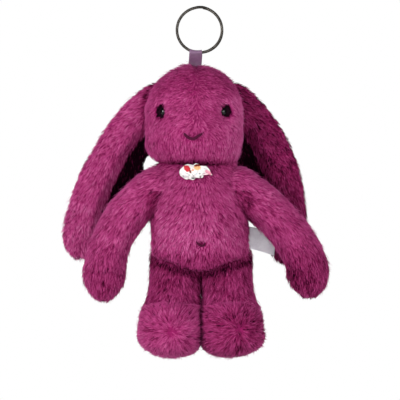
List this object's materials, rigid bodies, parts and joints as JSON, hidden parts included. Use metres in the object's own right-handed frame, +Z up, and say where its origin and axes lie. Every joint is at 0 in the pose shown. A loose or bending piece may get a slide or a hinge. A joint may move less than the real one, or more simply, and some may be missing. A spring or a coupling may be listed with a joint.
{
  "type": "plush keychain",
  "caption": "Soft plush rabbit with long drooping ears, loose stuffed arms and legs and a small neck bow, hung from a split key ring by a satin ribbon loop.",
  "frame": {"origin": "centre of the split ring's bore, where a hook or key holds the object", "axes": "+Z up as it hangs, +X the viewer's right, the rabbit faces -Y, the ring's bore axis along Y"},
  "size_m": [0.1361, 0.046, 0.1834],
  "materials": {
    "ring_steel": "polished",
    "ribbon_satin": "satin",
    "plush_front": "matte",
    "plush_back": "matte",
    "stuffing": "matte",
    "eye_bead": "gloss",
    "washer_plastic": "matte",
    "thread": "satin",
    "bow_cotton": "matte",
    "label_satin": "satin"
  },
  "bodies": {
    "key_ring": {"split_ring": "ring_steel"},
    "ribbon": {"hanging_ribbon": "ribbon_satin"},
    "head": {"head_face_left": "plush_front", "head_face_right": "plush_front", "head_back": "plush_back", "head_filling": "stuffing", "eye_left": "eye_bead", "eye_right": "eye_bead", "eye_washer_left": "washer_plastic", "eye_washer_right": "washer_plastic", "mouth_stitch": "thread"},
    "ear_left": {"ear_left_front": "plush_front", "ear_left_back": "plush_back"},
    "ear_right": {"ear_right_front": "plush_front", "ear_right_back": "plush_back"},
    "torso": {"torso_front": "plush_front", "torso_back_left": "plush_back", "torso_back_right": "plush_back", "torso_filling": "stuffing", "belly_stitch": "thread", "bow_loop_left": "bow_cotton", "bow_loop_right": "bow_cotton", "bow_knot": "bow_cotton", "tail_cover": "plush_back", "tail_filling": "stuffing"},
    "label": {"care_label": "label_satin"},
    "arm_left": {"arm_left_front": "plush_front", "arm_left_back": "plush_back", "arm_left_filling": "stuffing"},
    "leg_left": {"leg_left_outer": "plush_front", "leg_left_inner": "plush_front", "leg_left_sole": "plush_front", "leg_left_filling": "stuffing"},
    "arm_right": {"arm_right_front": "plush_front", "arm_right_back": "plush_back", "arm_right_filling": "stuffing"},
    "leg_right": {"leg_right_outer": "plush_front", "leg_right_inner": "plush_front", "leg_right_sole": "plush_front", "leg_right_filling": "stuffing"}
  },
  "joints": [
    {"name": "ring_swing", "type": "hinge", "parent": "key_ring", "child": "ribbon", "pos_m": [-0.002, 0, -0.0114], "axis": [1, 0, 0], "range_deg": [-70, 70]},
    {"name": "crown_bend", "type": "hinge", "parent": "ribbon", "child": "head", "pos_m": [-0.002, 0, -0.0189], "axis": [1, 0, 0], "range_deg": [-25, 25], "stiffness_Nm_per_rad": 0.002},
    {"name": "neck_tilt", "type": "hinge", "parent": "head", "child": "torso", "pos_m": [-0.0008, 0, -0.0708], "axis": [0, 1, 0], "range_deg": [-8, 8], "stiffness_Nm_per_rad": 0.01},
    {"name": "ear_left_lift", "type": "hinge", "parent": "head", "child": "ear_left", "pos_m": [-0.0282, 0.0066, -0.043], "axis": [0, 1, 0], "range_deg": [0, 70]},
    {"name": "ear_right_lift", "type": "hinge", "parent": "head", "child": "ear_right", "pos_m": [0.0249, 0.0066, -0.0435], "axis": [0, -1, 0], "range_deg": [0, 70]},
    {"name": "arm_left_lift", "type": "hinge", "parent": "torso", "child": "arm_left", "pos_m": [-0.029, -0.004, -0.084], "axis": [0, 1, 0], "range_deg": [-6, 70], "stiffness_Nm_per_rad": 0.004, "springref_deg": 5.73},
    {"name": "arm_right_lift", "type": "hinge", "parent": "torso", "child": "arm_right", "pos_m": [0.0285, -0.004, -0.0835], "axis": [0, -1, 0], "range_deg": [-6, 70], "stiffness_Nm_per_rad": 0.004, "springref_deg": 6.3},
    {"name": "leg_left_swing", "type": "hinge", "parent": "torso", "child": "leg_left", "pos_m": [-0.013, 0.0056, -0.127], "axis": [-1, 0, 0], "range_deg": [-20, 35], "stiffness_Nm_per_rad": 0.006, "springref_deg": 4.01},
    {"name": "leg_right_swing", "type": "hinge", "parent": "torso", "child": "leg_right", "pos_m": [0.014, 0.0056, -0.127], "axis": [-1, 0, 0], "range_deg": [-20, 35], "stiffness_Nm_per_rad": 0.006, "springref_deg": 4.01},
    {"name": "label_flap", "type": "hinge", "parent": "torso", "child": "label", "pos_m": [0.0253, 0.0056, -0.109], "axis": [0, 0, 1], "range_deg": [-6, 6], "stiffness_Nm_per_rad": 0.00001}
  ]
}
